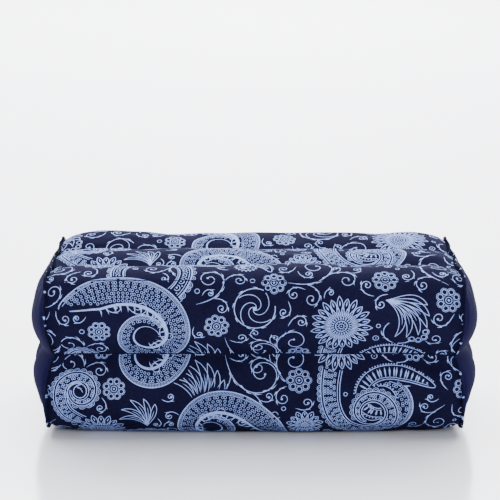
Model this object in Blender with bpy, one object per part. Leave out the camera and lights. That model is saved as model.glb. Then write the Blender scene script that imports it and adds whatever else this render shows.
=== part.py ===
"""Yoga block cushion: a firm block of six stuffed tubes, three across and two high, in one printed cover.

The cover wraps the block lengthwise and is stitched down between the tubes, which leaves two sewn
channels along the top and the underside and one along the front and the back. A plain end panel
closes each end, domed over the filling and drawn in along the same channels, and a narrow binding of
the printed cloth is sewn over the seam round each panel.

Metres, +Z up. X runs along the tubes, the front faces -Y, and the origin is the middle of the
footprint on the floor.
"""

import math

import bpy
from mathutils import Vector

# The block, measured over everything but the swells
LENGTH = 0.345
DEPTH = 0.180
HEIGHT = 0.127

# The tubes
TUBES_ACROSS = 3
TUBES_HIGH = 2
SEGMENTS_PER_TUBE = 8
STATIONS = 24

# The printed cover. Half its length is where the end seam lies, and it is drawn in where a channel ends.
SEAM_X = 0.1545
SEAM_DRAWN_IN_SIDE = 0.0062
SEAM_DRAWN_IN_TOP = 0.0012

# What changes between the middle of the length and the end seam: (in the middle, at the seam)
TOP_CORNER_RADIUS = (0.026, 0.011)
BOTTOM_CORNER_RADIUS = (0.026, 0.013)
SIDE_CHANNEL_DEPTH = (0.0130, 0.0030)
TOP_CHANNEL_DEPTH = (0.0110, 0.0028)
BOTTOM_CHANNEL_DEPTH = (0.0060, 0.0020)
SIDE_INSET = (0.0, 0.0050)
TOP_DROP = (0.0, 0.0062)
BOTTOM_RISE = (-0.0030, 0.0078)  # the weight presses the middle flat on the floor
END_TAPER = 0.034
SEAM_LAND = 0.0030
CHANNEL_REACH = 0.030

# The end panels
PANEL_THICKNESS = 0.0020
PANEL_SIDE_POWER = 3.4
PANEL_UPPER_POWER = 4.0
PANEL_LOWER_POWER = 1.9
LEVEL_CREASE = 0.30  # share of the dome that the stitching takes back
UPRIGHT_CREASE = 0.17
CREASE_REACH = 0.022

# The bindings
BINDING_HALF_WIDTH = 0.0019
BINDING_HEIGHT = 0.0038
EAR_HEIGHT = 0.0018
EAR_REACH = 0.008

GAP = 0.0003

# The filling is uneven: (which tube face, its place along X, how far it swells there, how wide the swell is)
SWELLS = (
    ("top far", -0.112, 0.0024, 0.045),
    ("top far", 0.020, -0.0010, 0.070),
    ("top near", 0.060, 0.0012, 0.060),
    ("top middle", -0.050, 0.0010, 0.060),
    ("front upper", -0.060, -0.0008, 0.050),
    ("front lower", 0.070, -0.0012, 0.050),
    ("back upper", 0.050, -0.0010, 0.060),
)

PRINTED = ("printed cotton", (0.018, 0.027, 0.082), 0.85)
PLAIN = ("plain navy cotton", (0.027, 0.031, 0.100), 0.80)


def clear_scene():
    for obj in list(bpy.data.objects):
        bpy.data.objects.remove(obj)


def material(name, colour, roughness):
    made = bpy.data.materials.new(name)
    made.use_nodes = True
    shader = made.node_tree.nodes["Principled BSDF"]
    shader.inputs["Base Color"].default_value = (*colour, 1.0)
    shader.inputs["Roughness"].default_value = roughness
    shader.inputs["Metallic"].default_value = 0.0
    return made


def between(pair, share):
    """The value part of the way from a pair's first number to its second."""
    return pair[0] + (pair[1] - pair[0]) * share


def notch(distance, reach):
    """1 on a line of stitches, falling to 0 where the cloth has risen to its full height."""
    return 1.0 - math.sin(math.pi / 2 * min(abs(distance) / reach, 1.0))


def swell(face, x):
    """How far the filling pushes a tube's face out at x, over its nominal height."""
    total = 0.0
    for name, place, height, width in SWELLS:
        if name == face:
            total += height * math.exp(-(((x - place) / width) ** 2))
    return total


def seam_share(x):
    """0 in the middle of the length and 1 at the end seam, with a short level land beside the seam."""
    from_seam = max(SEAM_X - abs(x) - SEAM_LAND, 0.0)
    return max(1.0 - from_seam / END_TAPER, 0.0) ** 2


class Section:
    """The block's outline across its length at one x."""

    def __init__(self, x):
        self.x = x
        share = seam_share(x)
        self.loose = 1.0 - share
        self.half_depth = DEPTH / 2 - between(SIDE_INSET, share)
        self.top = HEIGHT - between(TOP_DROP, share)
        self.bottom = between(BOTTOM_RISE, share)
        self.seam_height = HEIGHT / 2
        self.seam_offset = self.half_depth / TUBES_ACROSS
        self.radius_top = between(TOP_CORNER_RADIUS, share)
        self.radius_bottom = between(BOTTOM_CORNER_RADIUS, share)
        self.side_channel = between(SIDE_CHANNEL_DEPTH, share)
        self.top_channel = between(TOP_CHANNEL_DEPTH, share)
        self.bottom_channel = between(BOTTOM_CHANNEL_DEPTH, share)


def walk(distance, reach, radius):
    """The place reached by walking from the middle of a side towards a corner of that radius.

    Returns (along the side, out from it, normal along, normal out). The corner's middle is the end."""
    straight = reach - radius
    if distance <= straight:
        return distance, 0.0, 0.0, 1.0
    angle = (distance - straight) / radius
    along = straight + radius * math.sin(angle)
    out = -radius * (1.0 - math.cos(angle))
    return along, out, math.sin(angle), math.cos(angle)


def walk_length(reach, radius):
    return reach - radius + radius * math.pi / 4


def side_faces(section, side):
    """A front or back face, from the lower corner to the upper one: (y, z, normal y, normal z) of each point."""
    points = []
    sign = -1.0 if side == "front" else 1.0
    halves = (
        ("lower", -1.0, section.seam_height - section.bottom, section.radius_bottom),
        ("upper", 1.0, section.top - section.seam_height, section.radius_top),
    )
    for half, up, reach, radius in halves:
        length = walk_length(reach, radius)
        for step in range(SEGMENTS_PER_TUBE):
            share = step / SEGMENTS_PER_TUBE
            distance = length * (1.0 - share if half == "lower" else share)
            along, out, normal_along, normal_out = walk(distance, reach, radius)
            level = 1.0 - distance / length
            rise = section.loose * swell(f"{side} {half}", section.x) * math.sin(math.pi * level)
            out_by = rise - section.side_channel * notch(distance, CHANNEL_REACH)
            normal_y = sign * normal_out
            normal_z = up * normal_along
            y = sign * (section.half_depth + out) + normal_y * out_by
            z = section.seam_height + up * along + normal_z * out_by
            points.append((y, z, normal_y, normal_z))
    return points


def level_faces(section, side):
    """The top or underside, from the front corner to the back one: (y, z, normal y, normal z) of each point."""
    points = []
    up = 1.0 if side == "top" else -1.0
    level = section.top if side == "top" else section.bottom
    radius = section.radius_top if side == "top" else section.radius_bottom
    channel = section.top_channel if side == "top" else section.bottom_channel
    reach = section.half_depth
    length = walk_length(reach, radius)
    seam = section.seam_offset
    tubes = (("near", -length, -seam), ("middle", -seam, seam), ("far", seam, length))
    for tube, start, end in tubes:
        for step in range(SEGMENTS_PER_TUBE):
            share = step / SEGMENTS_PER_TUBE
            distance = start + (end - start) * share
            along, out, normal_along, normal_out = walk(abs(distance), reach, radius)
            towards = math.copysign(1.0, distance)
            from_seam = abs(abs(distance) - seam)
            rise = section.loose * swell(f"{side} {tube}", section.x) * math.sin(math.pi * share)
            out_by = rise - channel * notch(from_seam, CHANNEL_REACH)
            normal_y = towards * normal_along
            normal_z = up * normal_out
            y = towards * along + normal_y * out_by
            z = level + up * out + normal_z * out_by
            points.append((y, z, normal_y, normal_z))
    return points


def ring(section):
    """The outline's points in order: up the front, back along the top, down the back, forward underneath.

    Each side starts on its corner and leaves its last corner to the next side."""
    front = side_faces(section, "front")
    top = level_faces(section, "top")
    far_corner = corner_point(section, "top")
    low_far_corner = corner_point(section, "bottom")
    back = [far_corner] + side_faces(section, "back")[:0:-1]
    bottom = [low_far_corner] + level_faces(section, "bottom")[:0:-1]
    return front + top + back + bottom


def corner_point(section, level):
    """The middle of the back corner at the top or the bottom."""
    radius = section.radius_top if level == "top" else section.radius_bottom
    up = 1.0 if level == "top" else -1.0
    flat = section.top if level == "top" else section.bottom
    diagonal = math.sqrt(0.5)
    y = section.half_depth - radius * (1.0 - diagonal)
    z = flat - up * radius * (1.0 - diagonal)
    return y, z, diagonal, up * diagonal


FRONT_SEGMENTS = TUBES_HIGH * SEGMENTS_PER_TUBE
TOP_SEGMENTS = TUBES_ACROSS * SEGMENTS_PER_TUBE
RING_POINTS = 2 * (FRONT_SEGMENTS + TOP_SEGMENTS)
CORNERS = (0, FRONT_SEGMENTS, FRONT_SEGMENTS + TOP_SEGMENTS, 2 * FRONT_SEGMENTS + TOP_SEGMENTS)


def seam_distance(index):
    """How many points from the nearest sewn channel of each kind: (side channels, top and bottom channels)."""
    side_seams = (SEGMENTS_PER_TUBE, CORNERS[2] + SEGMENTS_PER_TUBE)
    level_seams = []
    for start in (CORNERS[1], CORNERS[3]):
        level_seams += [start + SEGMENTS_PER_TUBE, start + 2 * SEGMENTS_PER_TUBE]
    side = min(abs(index - seam) for seam in side_seams)
    level = min(abs(index - seam) for seam in level_seams)
    return side, level


def drawn_in(index):
    """How far the end seam is pulled towards the middle at this point of the ring."""
    side, level = seam_distance(index)
    reach = SEGMENTS_PER_TUBE / 2
    return SEAM_DRAWN_IN_SIDE * notch(side, reach) + SEAM_DRAWN_IN_TOP * notch(level, reach)


def station_ring(place):
    """The ring of 3-D points at a place along the block, from -1 at the left seam to 1 at the right one."""
    section = Section(place * SEAM_X)
    points = []
    for index, (y, z, _, _) in enumerate(ring(section)):
        x = place * (SEAM_X - drawn_in(index) * abs(place) ** 6)
        points.append(Vector((x, y, max(z, 0.0))))
    return points


def station_places():
    """Places of the stations, closer together towards the ends, with one at the edge of each seam's land."""
    land = 1.0 - SEAM_LAND / SEAM_X
    places = []
    for step in range(STATIONS + 1):
        even = 2.0 * step / STATIONS - 1.0
        places.append(land * math.sin(even * math.pi / 2.35) / math.sin(math.pi / 2.35))
    return [-1.0] + places + [1.0]


def dome(across, up):
    """The end panel's dome as a share of its height. Both places run from -1 to 1 between its edges."""
    power = PANEL_UPPER_POWER if up > 0 else PANEL_LOWER_POWER
    full = (1.0 - abs(across) ** PANEL_SIDE_POWER) * (1.0 - abs(up) ** power)
    level = notch(up * HEIGHT / 2, CREASE_REACH)
    upright = notch((abs(across) - 1.0 / TUBES_ACROSS) * DEPTH / 2, CREASE_REACH)
    return full * (1.0 - LEVEL_CREASE * level - UPRIGHT_CREASE * upright * (1.0 - level))


def patch(ring_points, outwards, height, lift):
    """A grid of points that fills the end ring and domes over it: rows from the bottom, each from front to back."""
    across_steps, up_steps = TOP_SEGMENTS, FRONT_SEGMENTS
    front = ring_points[CORNERS[0] : CORNERS[1] + 1]
    top = ring_points[CORNERS[1] : CORNERS[2] + 1]
    back = ring_points[CORNERS[2] : CORNERS[3] + 1][::-1]
    bottom = (ring_points[CORNERS[3] :] + ring_points[:1])[::-1]
    grid = []
    for j in range(up_steps + 1):
        v = j / up_steps
        row = []
        for i in range(across_steps + 1):
            u = i / across_steps
            sides = front[j] * (1 - u) + back[j] * u
            levels = bottom[i] * (1 - v) + top[i] * v
            corners = (bottom[0] * (1 - u) + bottom[-1] * u) * (1 - v)
            corners = corners + (top[0] * (1 - u) + top[-1] * u) * v
            point = sides + levels - corners
            point.x += outwards * (lift + height * dome(2 * u - 1, 2 * v - 1))
            row.append(point)
        grid.append(row)
    return grid


def dome_height():
    """The dome's height under the panel, so that the panel's crest reaches half the length."""
    crest = max(dome(i / 50 - 1, j / 50 - 1) for i in range(101) for j in range(101))
    return (LENGTH / 2 - SEAM_X - GAP - PANEL_THICKNESS) / crest


def grid_boundary(across_steps, up_steps):
    """Places (row, column) round a patch's edge, in the ring's order."""
    front = [(j, 0) for j in range(up_steps)]
    top = [(up_steps, i) for i in range(across_steps)]
    back = [(j, across_steps) for j in range(up_steps, 0, -1)]
    bottom = [(0, i) for i in range(across_steps, 0, -1)]
    return front + top + back + bottom


def add_object(name, points, faces, finish, root):
    mesh = bpy.data.meshes.new(name)
    mesh.from_pydata([tuple(point) for point in points], [], faces)
    mesh.materials.append(finish)
    mesh.shade_smooth()
    obj = bpy.data.objects.new(name, mesh)
    bpy.context.scene.collection.objects.link(obj)
    obj.parent = root
    return obj


def cell(a, b, c, d, outwards):
    """Two triangles over a patch's cell, always split along a to c, facing along outwards (1 for +X, -1 for -X)."""
    if outwards > 0:
        return [(a, b, c), (a, c, d)]
    return [(a, c, b), (a, d, c)]


def patch_faces(first, across_steps, up_steps, outwards):
    """Triangles over a patch whose points start at index first."""
    width = across_steps + 1
    faces = []
    for j in range(up_steps):
        for i in range(across_steps):
            a = first + j * width + i
            faces += cell(a, a + 1, a + width + 1, a + width, outwards)
    return faces


def filled_body(name, finish, root):
    """The stuffed block in its printed cover: rings of the section, closed by a domed patch at each end."""
    rings = [station_ring(place) for place in station_places()]
    points = [point for one in rings for point in one]
    faces = []
    for station in range(len(rings) - 1):
        for index in range(RING_POINTS):
            after = (index + 1) % RING_POINTS
            a = station * RING_POINTS + index
            b = station * RING_POINTS + after
            faces.append((a, a + RING_POINTS, b + RING_POINTS, b))
    for outwards, end in ((-1.0, 0), (1.0, len(rings) - 1)):
        grid = patch(rings[end], outwards, dome_height(), 0.0)
        indices = {}
        for step, place in enumerate(grid_boundary(TOP_SEGMENTS, FRONT_SEGMENTS)):
            indices[place] = end * RING_POINTS + step
        for j, row in enumerate(grid):
            for i, point in enumerate(row):
                if (j, i) not in indices:
                    indices[(j, i)] = len(points)
                    points.append(point)
        for j in range(FRONT_SEGMENTS):
            for i in range(TOP_SEGMENTS):
                around = ((j, i), (j, i + 1), (j + 1, i + 1), (j + 1, i))
                faces += cell(*(indices[place] for place in around), outwards)
    return add_object(name, points, faces, finish, root)


def end_panel(name, outwards, finish, root):
    """A cloth panel that lies on the block's domed end."""
    edge = station_ring(outwards)
    inner = patch(edge, outwards, dome_height(), GAP)
    outer = patch(edge, outwards, dome_height(), GAP + PANEL_THICKNESS)
    points = [point for grid in (outer, inner) for row in grid for point in row]
    count = (TOP_SEGMENTS + 1) * (FRONT_SEGMENTS + 1)
    faces = patch_faces(0, TOP_SEGMENTS, FRONT_SEGMENTS, outwards)
    faces += patch_faces(count, TOP_SEGMENTS, FRONT_SEGMENTS, -outwards)
    rim = [j * (TOP_SEGMENTS + 1) + i for j, i in grid_boundary(TOP_SEGMENTS, FRONT_SEGMENTS)]
    for step, a in enumerate(rim):
        b = rim[(step + 1) % len(rim)]
        quad = (a, b, b + count, a + count)
        faces.append(quad if outwards > 0 else quad[::-1])
    return add_object(name, points, faces, finish, root)


def binding_profile(height):
    """The binding's cross-section, as (towards the end, out from the cover) offsets from the end seam."""
    half = BINDING_HALF_WIDTH
    return (
        (-half, GAP),
        (-half * 0.95, GAP + height * 0.62),
        (-half * 0.35, GAP + height),
        (half * 0.55, GAP + height * 0.96),
        (half * 1.10, GAP + height * 0.55),
        (half * 1.10, GAP),
    )


def binding(name, outwards, finish, root):
    """The folded strip of printed cloth sewn over the end seam, taller where it turns a corner."""
    section = Section(outwards * SEAM_X)
    normals = [(normal_y, normal_z) for _, _, normal_y, normal_z in ring(section)]
    edge = station_ring(outwards)
    points = []
    for index, (place, normal) in enumerate(zip(edge, normals)):
        steps = min(min(abs(index - corner), RING_POINTS - abs(index - corner)) for corner in CORNERS)
        near_corner = math.exp(-((steps * DEPTH / TOP_SEGMENTS / EAR_REACH) ** 2))
        profile = binding_profile(BINDING_HEIGHT + EAR_HEIGHT * near_corner)
        for along, out in profile:
            offset = Vector((outwards * along, normal[0] * out, normal[1] * out))
            points.append(place + offset)
    count = len(profile)
    faces = []
    for index in range(RING_POINTS):
        after = (index + 1) % RING_POINTS
        for corner in range(count):
            other = (corner + 1) % count
            quad = (
                index * count + corner,
                index * count + other,
                after * count + other,
                after * count + corner,
            )
            faces.append(quad if outwards > 0 else quad[::-1])
    return add_object(name, points, faces, finish, root)


def main():
    clear_scene()
    printed = material(*PRINTED)
    plain = material(*PLAIN)
    root = bpy.data.objects.new("yoga_block_cushion", None)
    bpy.context.scene.collection.objects.link(root)
    filled_body("filled_body", printed, root)
    for side, outwards in (("left", -1.0), ("right", 1.0)):
        end_panel(f"end_panel_{side}", outwards, plain, root)
        binding(f"seam_binding_{side}", outwards, printed, root)


main()
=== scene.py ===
import math
import random

import bmesh
import bpy
import numpy as np
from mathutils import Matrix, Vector
from mathutils.geometry import delaunay_2d_cdt


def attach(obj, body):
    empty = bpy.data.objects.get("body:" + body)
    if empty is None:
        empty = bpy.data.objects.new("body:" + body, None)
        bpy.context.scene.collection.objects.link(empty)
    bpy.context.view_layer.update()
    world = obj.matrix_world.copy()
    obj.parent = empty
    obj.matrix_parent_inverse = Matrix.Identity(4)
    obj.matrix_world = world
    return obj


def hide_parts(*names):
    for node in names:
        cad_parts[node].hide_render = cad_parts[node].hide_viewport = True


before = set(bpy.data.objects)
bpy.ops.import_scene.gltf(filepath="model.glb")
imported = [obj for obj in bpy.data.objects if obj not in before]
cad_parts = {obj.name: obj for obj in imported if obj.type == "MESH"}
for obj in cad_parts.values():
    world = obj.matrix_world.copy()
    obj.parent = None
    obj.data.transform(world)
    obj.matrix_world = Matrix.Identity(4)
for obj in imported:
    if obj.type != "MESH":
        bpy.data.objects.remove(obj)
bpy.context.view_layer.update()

# The stuffed block. Lengths in metres; a pair is (in the middle of the length, at the end seam).
block = {
    "depth": 0.180,
    "height": 0.127,
    "sideSeamHeight": 0.0625,
    "seamX": 0.1545,  # half the printed cover's length
    "cornerTop": (0.024, 0.011),
    "cornerBottom": (0.032, 0.014),
    "sideInset": (0.0, 0.0050),
    "topDrop": (0.0, 0.0072),
    "bottomRise": (-0.0005, 0.0078),
    "sideChannel": (0.0150, 0.0032),
    "topChannel": (0.0125, 0.0030),
    "bottomChannel": (0.0070, 0.0020),
    "channelReach": 0.024,
    "endTaper": 0.032,
    "drawnInSide": 0.0062,
    "drawnInTop": 0.0012,
    "pointsPerTube": 14,
    "rings": 74,
}

# What the sewing and the filling do to the cloth
filling = {
    "pressure": 2.4,
    "looseCloth": -0.014,  # the cover is cut this much larger than the form
    "frames": 16,
    "mostMove": 0.0045,
    "swells": (  # tube face, place along X, height, width
        ("top far", -0.112, 0.0020, 0.045),
        ("top far", 0.020, 0.0006, 0.080),
        ("top near", 0.0, -0.0022, 0.500),
        ("top near", 0.060, 0.0010, 0.060),
        ("top middle", 0.0, -0.0018, 0.500),
        ("top middle", -0.050, 0.0008, 0.060),
        ("front upper", -0.060, -0.0008, 0.050),
        ("front lower", 0.070, -0.0012, 0.050),
        ("back upper", 0.050, -0.0010, 0.060),
    ),
}


def between(pair, share):
    return pair[0] + (pair[1] - pair[0]) * share


def notch(distance, reach):
    return 1.0 - math.sin(math.pi / 2 * min(abs(distance) / reach, 1.0))


def swellAt(face, x):
    found = (swell[1:] for swell in filling["swells"] if swell[0] == face)
    return sum(height * math.exp(-(((x - place) / width) ** 2)) for place, height, width in found)


def walk(distance, reach, radius):
    # from the middle of a side towards its corner: (along, out, normal along, normal out)
    straight = reach - radius
    if distance <= straight:
        return distance, 0.0, 0.0, 1.0
    angle = (distance - straight) / radius
    return straight + radius * math.sin(angle), -radius * (1 - math.cos(angle)), math.sin(angle), math.cos(angle)


def walkLength(reach, radius):
    return reach - radius + radius * math.pi / 4


# The girth runs from the lower front corner up the front, back over the top, down the back and forward underneath.
perTube = block["pointsPerTube"]
girthFaces = (
    # face, tube
    ("front", "lower"),
    ("front", "upper"),
    ("top", "near"),
    ("top", "middle"),
    ("top", "far"),
    ("back", "upper"),
    ("back", "lower"),
    ("bottom", "far"),
    ("bottom", "middle"),
    ("bottom", "near"),
)
ringPoints = perTube * len(girthFaces)
cornerIndex = (0, 2 * perTube, 5 * perTube, 7 * perTube)
sideSeams = (perTube, 6 * perTube)
levelSeams = (3 * perTube, 4 * perTube, 8 * perTube, 9 * perTube)


def sectionAt(x):
    # the block's outline across its length at x, as (y, z) points
    fromSeam = max(block["seamX"] - abs(x) - 0.002, 0.0)
    share = max(1.0 - fromSeam / block["endTaper"], 0.0) ** 2.2
    loose = 1.0 - share
    halfDepth = block["depth"] / 2 - between(block["sideInset"], share)
    top = block["height"] - between(block["topDrop"], share)
    bottom = between(block["bottomRise"], share)
    middle = block["sideSeamHeight"]
    reach = block["channelReach"]
    points = []
    for face, tube in girthFaces:
        radius = between(block["cornerTop" if (tube == "upper" or face == "top") else "cornerBottom"], share)
        for step in range(perTube):
            t = step / perTube
            if face in ("front", "back"):
                sign = -1.0 if face == "front" else 1.0
                up = 1.0 if tube == "upper" else -1.0
                span = (top - middle) if tube == "upper" else (middle - bottom)
                length = walkLength(span, radius)
                towardsSeam = (tube == "lower") == (face == "front")
                distance = length * ((1 - t) if towardsSeam else t)
                along, out, na, no = walk(distance, span, radius)
                rise = loose * swellAt(f"{face} {tube}", x) * math.sin(math.pi * (1 - distance / length))
                lift = rise - between(block["sideChannel"], share) * notch(distance, reach)
                y = sign * (halfDepth + out + no * lift)
                z = middle + up * (along + na * lift)
            else:
                up = 1.0 if face == "top" else -1.0
                radius = between(block["cornerTop" if face == "top" else "cornerBottom"], share)
                length = walkLength(halfDepth, radius)
                seam = halfDepth / 3
                ends = {"near": (-length, -seam), "middle": (-seam, seam), "far": (seam, length)}[tube]
                if face == "bottom":
                    ends = ends[::-1]
                distance = ends[0] + (ends[1] - ends[0]) * t
                along, out, na, no = walk(abs(distance), halfDepth, radius)
                towards = math.copysign(1.0, distance)
                rise = loose * swellAt(f"{face} {tube}", x) * math.sin(math.pi * t)
                channel = between(block["topChannel" if face == "top" else "bottomChannel"], share)
                lift = rise - channel * notch(abs(distance) - seam, reach)
                y = towards * (along + na * lift)
                z = (top if up > 0 else bottom) + up * (out + no * lift)
            points.append((y, z))
    return points


def ringDistance(index, places):
    return min(min(abs(index - p), ringPoints - abs(index - p)) for p in places)


def coverForm():
    # rings of points along the block, closer together towards its ends
    count = block["rings"]
    places = []
    for step in range(count):
        even = 2.0 * step / (count - 1) - 1.0
        places.append(math.sin(even * math.pi / 2.5) / math.sin(math.pi / 2.5))
    rings = []
    for place in places:
        row = []
        for index, (y, z) in enumerate(sectionAt(place * block["seamX"])):
            pull = block["drawnInSide"] * notch(ringDistance(index, sideSeams), perTube / 2)
            pull += block["drawnInTop"] * notch(ringDistance(index, levelSeams), perTube / 2)
            row.append((place * (block["seamX"] - pull * abs(place) ** 6), y, max(z, 0.0004)))
        rings.append(row)
    return places, rings


endPanel = {
    "crest": 0.0146,  # how far the filling pushes the panel past the seam
    "sidePower": 3.4,
    "upperPower": 4.0,
    "lowerPower": 3.0,
    "levelCrease": 0.30,
    "uprightCrease": 0.17,
    "creaseReach": 0.020,
    "thickness": 0.0012,
}


def domeShare(across, up):
    power = endPanel["upperPower"] if up > 0 else endPanel["lowerPower"]
    full = (1.0 - abs(across) ** endPanel["sidePower"]) * (1.0 - abs(up) ** power)
    level = notch(up * block["height"] / 2, endPanel["creaseReach"])
    upright = notch((abs(across) - 1 / 3) * block["depth"] / 2, endPanel["creaseReach"])
    return full * (1.0 - endPanel["levelCrease"] * level - endPanel["uprightCrease"] * upright * (1 - level))


def endGrid(ring, outwards):
    # a domed grid of points that fills an end ring, rows from the bottom, each from front to back
    c = cornerIndex
    front, top = ring[c[0] : c[1] + 1], ring[c[1] : c[2] + 1]
    back, bottom = ring[c[2] : c[3] + 1][::-1], (ring[c[3] :] + ring[:1])[::-1]
    front, top, back, bottom = (np.array(side) for side in (front, top, back, bottom))
    rows = []
    for j in range(len(front)):
        v = j / (len(front) - 1)
        row = []
        for i in range(len(top)):
            u = i / (len(top) - 1)
            point = front[j] * (1 - u) + back[j] * u + bottom[i] * (1 - v) + top[i] * v
            point = point - (bottom[0] * (1 - u) + bottom[-1] * u) * (1 - v) - (top[0] * (1 - u) + top[-1] * u) * v
            point[0] += outwards * endPanel["crest"] * domeShare(2 * u - 1, 2 * v - 1)
            row.append(point)
        rows.append(row)
    return rows


def stuffedMesh():
    # the closed form that the cloth is blown up on; the first points are the cover's rings in order
    places, rings = coverForm()
    points = [p for ring in rings for p in ring]
    faces = []
    for s in range(len(rings) - 1):
        for i in range(ringPoints):
            a, b = s * ringPoints + i, s * ringPoints + (i + 1) % ringPoints
            faces.append((a, a + ringPoints, b + ringPoints, b))
    ends = []
    for outwards, s in ((-1, 0), (1, len(rings) - 1)):
        grid = endGrid(rings[s], outwards)
        rows, columns = len(grid), len(grid[0])
        edge = [(j, 0) for j in range(rows - 1)] + [(rows - 1, i) for i in range(columns - 1)]
        edge += [(j, columns - 1) for j in range(rows - 1, 0, -1)] + [(0, i) for i in range(columns - 1, 0, -1)]
        index = {place: s * ringPoints + k for k, place in enumerate(edge)}
        for j in range(rows):
            for i in range(columns):
                if (j, i) not in index:
                    index[(j, i)] = len(points)
                    points.append(tuple(grid[j][i]))
        for j in range(rows - 1):
            for i in range(columns - 1):
                quad = [index[q] for q in ((j, i), (j, i + 1), (j + 1, i + 1), (j + 1, i))]
                faces.append(quad if outwards > 0 else quad[::-1])
        ends.append((outwards, rows, columns, index))
    mesh = bpy.data.meshes.new("stuffed form")
    mesh.from_pydata([tuple(map(float, p)) for p in points], [], faces)
    obj = bpy.data.objects.new("stuffed form", mesh)
    bpy.context.scene.collection.objects.link(obj)
    return obj, places, ends


def blowUp(obj, places):
    # cloth under pressure, held along the sewn channels and the end seams
    start = np.array([v.co[:] for v in obj.data.vertices])
    held = obj.vertex_groups.new(name="sewn")
    rings = len(places)
    for s in range(rings):
        for i in range(ringPoints):
            near = ringDistance(i, sideSeams + levelSeams)
            if near == 0 or s in (0, rings - 1):
                held.add([s * ringPoints + i], 1.0, "REPLACE")
    cloth = obj.modifiers.new("cloth", "CLOTH")
    settings = cloth.settings
    settings.quality = 6
    settings.mass = 0.25
    settings.air_damping = 2.0
    settings.tension_stiffness = 22
    settings.compression_stiffness = 16
    settings.shear_stiffness = 8
    settings.bending_stiffness = 0.18
    settings.use_pressure = True
    settings.uniform_pressure_force = filling["pressure"]
    settings.vertex_group_mass = "sewn"
    settings.pin_stiffness = 1.0
    settings.shrink_min = filling["looseCloth"]
    settings.effector_weights.gravity = 0
    cloth.collision_settings.use_collision = False
    cloth.collision_settings.use_self_collision = False
    cloth.point_cache.frame_start = 1
    cloth.point_cache.frame_end = filling["frames"] + 1
    for number in range(1, filling["frames"] + 1):
        bpy.context.scene.frame_set(number)
    graph = bpy.context.evaluated_depsgraph_get()
    evaluated = obj.evaluated_get(graph)
    swollen = np.array([v.co[:] for v in evaluated.data.vertices])
    obj.modifiers.remove(cloth)
    bpy.context.scene.frame_set(1)
    move = swollen - start
    grid = move[: rings * ringPoints].reshape(rings, ringPoints, 3)
    for _ in range(4):  # the filling evens the cloth out along each tube
        grid[1:-1] = (grid[:-2] + 2 * grid[1:-1] + grid[2:]) / 4
    length = np.linalg.norm(move, axis=1, keepdims=True)
    cap = filling["mostMove"]
    move = move * np.tanh(length / cap) * cap / np.maximum(length, 1e-9)
    result = start + move
    result[:, 2] = np.maximum(result[:, 2], 0.0004)
    average, most = (round(float(value) * 1000, 2) for value in (length.mean(), length.max()))
    print("scene: cloth moved", average, "mm on average,", most, "at most, before the cap")
    return result


form, places, ends = stuffedMesh()
print("scene: stuffed form,", len(form.data.vertices), "points")
formFaces = [tuple(face.vertices) for face in form.data.polygons]
swollen = blowUp(form, places)
bpy.data.objects.remove(form)


# The swollen grid as a smooth surface over the flat cloth: u runs along the block, v round it, both in mm.
rings = len(places)
cover = swollen[: rings * ringPoints].reshape(rings, ringPoints, 3)
alongMm = np.concatenate([[0], np.cumsum(np.linalg.norm(np.diff(cover, axis=0), axis=2).mean(axis=1))]) * 1000
middleRings = cover[rings // 3 : 2 * rings // 3]
wrapped = np.concatenate([middleRings, middleRings[:, :1]], axis=1)
aroundMm = np.concatenate([[0], np.cumsum(np.linalg.norm(np.diff(wrapped, axis=1), axis=2).mean(axis=0))]) * 1000
alongMm -= alongMm[-1] / 2
print("scene: flat cover", round(float(alongMm[-1] * 2), 1), "x", round(float(aroundMm[-1]), 1), "mm")


def catmull(p0, p1, p2, p3, t):
    return 0.5 * (2 * p1 + (p2 - p0) * t + (2 * p0 - 5 * p1 + 4 * p2 - p3) * t**2 + (3 * p1 - p0 - 3 * p2 + p3) * t**3)


def onGrid(s, i):
    # the surface at fractional ring and point numbers
    s = np.clip(s, 0, rings - 1 - 1e-6)
    s0, i0 = np.floor(s).astype(int), np.floor(i).astype(int)
    ts, ti = (s - s0)[:, None], (i - i0)[:, None]
    rows = []
    for ds in (-1, 0, 1, 2):
        ss = np.clip(s0 + ds, 0, rings - 1)
        rows.append(catmull(*(cover[ss, (i0 + di) % ringPoints] for di in (-1, 0, 1, 2)), ti))
    return catmull(*rows, ts)


def onCover(u, v):
    s = np.interp(u, alongMm, np.arange(rings))
    i = np.interp(v, aroundMm, np.arange(ringPoints + 1))
    return onGrid(s, i)


def coverNormals(u, v, step=0.35):
    a = onCover(np.clip(u + step, alongMm[0], alongMm[-1]), v) - onCover(np.clip(u - step, alongMm[0], alongMm[-1]), v)
    b = onCover(u, (v + step) % aroundMm[-1]) - onCover(u, (v - step) % aroundMm[-1])
    n = np.cross(a, b)
    return n / np.maximum(np.linalg.norm(n, axis=1, keepdims=True), 1e-12)


# The print, drawn flat in mm and repeated over the cloth
printRepeat = {
    "width": 318.0,  # mm along the block
    "height": 150.0,  # mm round it
    "weight": 0.70,  # how heavy its lines are
    "seed": 11,
}
fullTurn = 2 * math.pi


def line(points, width, startTaper=0.0, endTaper=0.0):
    return {"points": points, "width": width, "tapers": (startTaper, endTaper)}


def area(points):
    return {"points": points, "width": 0}


def outlineOf(shape):
    # a line as the closed outline of its width, thinner towards an end that tapers
    points, width = shape["points"], shape["width"]
    if not width:
        return points
    startTaper, endTaper = shape["tapers"]
    left, right, last = [], [], len(points) - 1
    for k, (x, y) in enumerate(points):
        (ax, ay), (bx, by) = points[max(k - 1, 0)], points[min(k + 1, last)]
        length = math.hypot(bx - ax, by - ay) or 1.0
        share, half = k / last, width / 2 * printRepeat["weight"]
        if startTaper:
            half *= min(1.0, 0.25 + share / startTaper)
        if endTaper:
            half *= min(1.0, 0.25 + (1 - share) / endTaper)
        nx, ny = -(by - ay) / length * half, (bx - ax) / length * half
        left.append((x + nx, y + ny))
        right.append((x - nx, y - ny))
    return right + left[::-1]


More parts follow.
